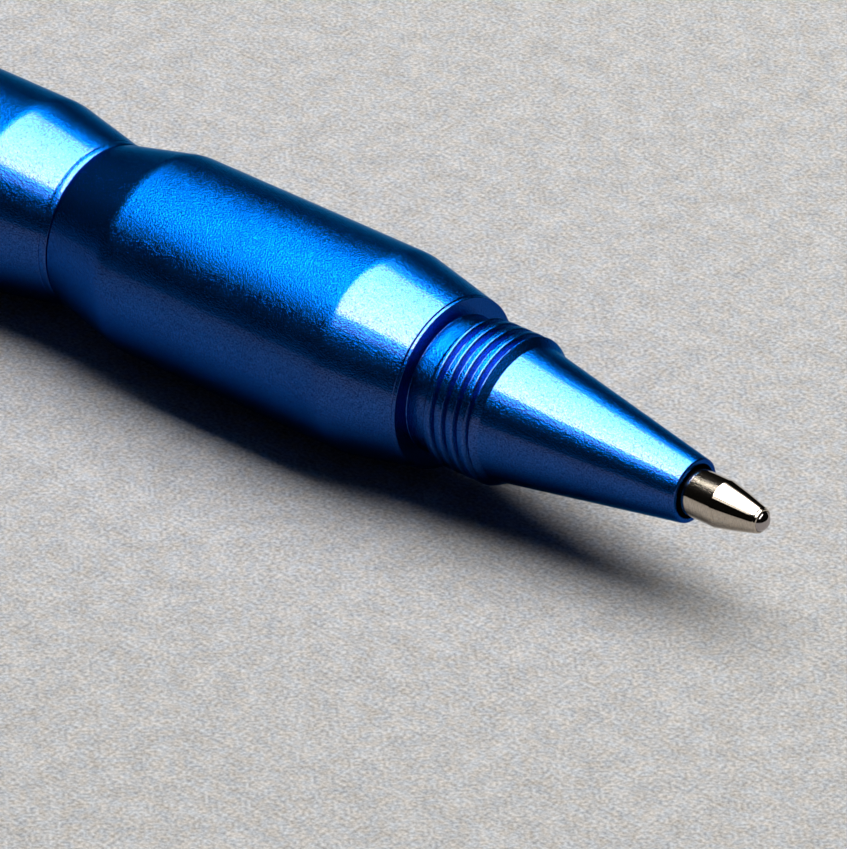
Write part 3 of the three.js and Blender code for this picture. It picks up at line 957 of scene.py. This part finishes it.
wire = turned_metal("spring wire", dark=(0.36, 0.36, 0.38), pale=(0.6, 0.6, 0.62), roughness=0.24,
                    along=0.3, across=0.3)
packed_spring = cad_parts["refill_spring"]
winding = packed_spring.data.copy()
winding.transform(packed_spring.matrix_world)
spring = bpy.data.objects.new("refill_spring_wound", winding)
bpy.context.collection.objects.link(spring)
select_only(spring)
weld()
bpy.ops.object.mode_set(mode="EDIT")
bpy.ops.mesh.select_all(action="SELECT")
bpy.ops.mesh.tris_convert_to_quads()
bpy.ops.object.mode_set(mode="OBJECT")
rounding = spring.modifiers.new("rounding", "SUBSURF")
rounding.levels = 1
rounding.render_levels = 1
bpy.ops.object.modifier_apply(modifier=rounding.name)
finish_piece(spring, "refill_spring", "rear_barrel", wire, angle=ALL_SMOOTH)
tuple(place(SPRING_REAR, 0))
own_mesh(spring)

# %% [markdown]
# The pen lies on a pale, fine-grained slab. The floor is a plane just under the barrel. Its grain
# is faint: fine specks and broader clouds. Dry stone has no gloss, so its specular level is nought,
# or the softboxes would haze the pen's shadow.

# %% Floor
FLOOR_SIZE = 1.6
SPECK = 0.2
SPECK_CONTRAST = 2.2
CLOUD = 1.6
CLOUD_CONTRAST = 0.6
TINT = 0.6
TINT_CONTRAST = 3
PALE_COOL = (0.73, 0.75, 0.77)
PALE_WARM = (0.79, 0.75, 0.71)
GREY_COOL = (0.33, 0.34, 0.36)
GREY_WARM = (0.38, 0.35, 0.31)
STONE_ROUGHNESS = 0.8

bpy.ops.object.select_all(action="DESELECT")
bpy.ops.mesh.primitive_plane_add(size=FLOOR_SIZE, location=(0, 0, AXIS_Z - GRIP_R * MM))
floor = bpy.context.object
floor.name = "floor"
stone = Finish("pale stone")
specks = stone.speckle(SPECK, detail=3.0) * SPECK_CONTRAST
clouds = stone.speckle(CLOUD) * CLOUD_CONTRAST
tints = stone.speckle(TINT, detail=1.0).contrast(TINT_CONTRAST)
grey = stone.mix(tints, GREY_COOL, GREY_WARM)
pale = stone.mix(tints, PALE_COOL, PALE_WARM)
stone.surface({
    "Base Color": stone.mix(specks + clouds - (SPECK_CONTRAST + CLOUD_CONTRAST - 1) / 2, grey, pale),
    "Roughness": STONE_ROUGHNESS,
    "Specular IOR Level": 0.0,
})
dress(floor, stone)
print("floor at", round(floor.location.z / MM, 4), "mm")

# %% [markdown]
# Bare metal shows only what it mirrors, so how the softboxes look matters more than how strong they
# are. A large panel overhead has a bright core and a dimmer rim: the burnished point mirrors all of
# it, and the blasted tapers mirror the core as a broad patch. The core hangs a little lower, or the
# rim would hide it. A narrow strip beyond the tip draws the streak on the ball, and lifts the
# thread's chamfer from black to a dull blue. The softboxes are seen in reflections alone, so each
# can be shaped for its job.

# %% Softboxes
PANEL_HEIGHT = 0.7
CORE_DROP = 0.002
RIM_RADIANCE = 1.7
CORE_RADIANCE = 24
STRIP_RADIANCE = 6
STRIP_HEADING = 19.4


def add_softbox(name, height, centre, size, radiance, heading=0):
    """An area lamp that faces down. Its place from the tip and its size are shares of its height."""
    where = (TIP_X + centre[0] * height, centre[1] * height, height)
    bpy.ops.object.light_add(type="AREA", location=where, rotation=(0, 0, math.radians(heading)))
    lamp = bpy.context.object
    lamp.name = name
    lamp.data.shape = "RECTANGLE"
    lamp.data.size = size[0] * height
    lamp.data.size_y = size[1] * height
    lamp.data.energy = radiance * math.pi * lamp.data.size * lamp.data.size_y
    print(name, "lamp", round(lamp.data.energy, 2), "W")
    return lamp


rim = add_softbox("panel_rim", PANEL_HEIGHT, centre=(-0.26, -0.025), size=(0.65, 2.15),
                  radiance=RIM_RADIANCE)
core = add_softbox("panel_core", PANEL_HEIGHT - CORE_DROP, centre=(-0.26, 0.01), size=(0.65, 1.4),
                   radiance=CORE_RADIANCE)
strip = add_softbox("strip", PANEL_HEIGHT, centre=(0.72, -0.17), size=(0.2, 1.44),
                    radiance=STRIP_RADIANCE, heading=STRIP_HEADING)
for softbox in (rim, core, strip):
    softbox.visible_diffuse = False

# %% [markdown]
# A long, soft key lamp behind the pen lights the floor and throws the pen's shadow forward. It is
# kept out of the reflections, where it would wash over the panel's. The world adds a very faint fill,
# and the view transform is the plain one, which shows a colour as it is written.

# %% Key lamp and world
KEY_HEIGHT = 0.6
KEY_RADIANCE = 2.97
FILL = 0.005

key = add_softbox("key", KEY_HEIGHT, centre=(-0.23, 0.39), size=(2.6, 1.02), radiance=KEY_RADIANCE)
key.visible_glossy = False

world = bpy.data.worlds.new("world")
bpy.context.scene.world = world
world.use_nodes = True
world.node_tree.nodes["Background"].inputs["Color"].default_value = (FILL, FILL, FILL, 1)
bpy.context.scene.view_settings.view_transform = "Standard"
print("world fill", FILL)
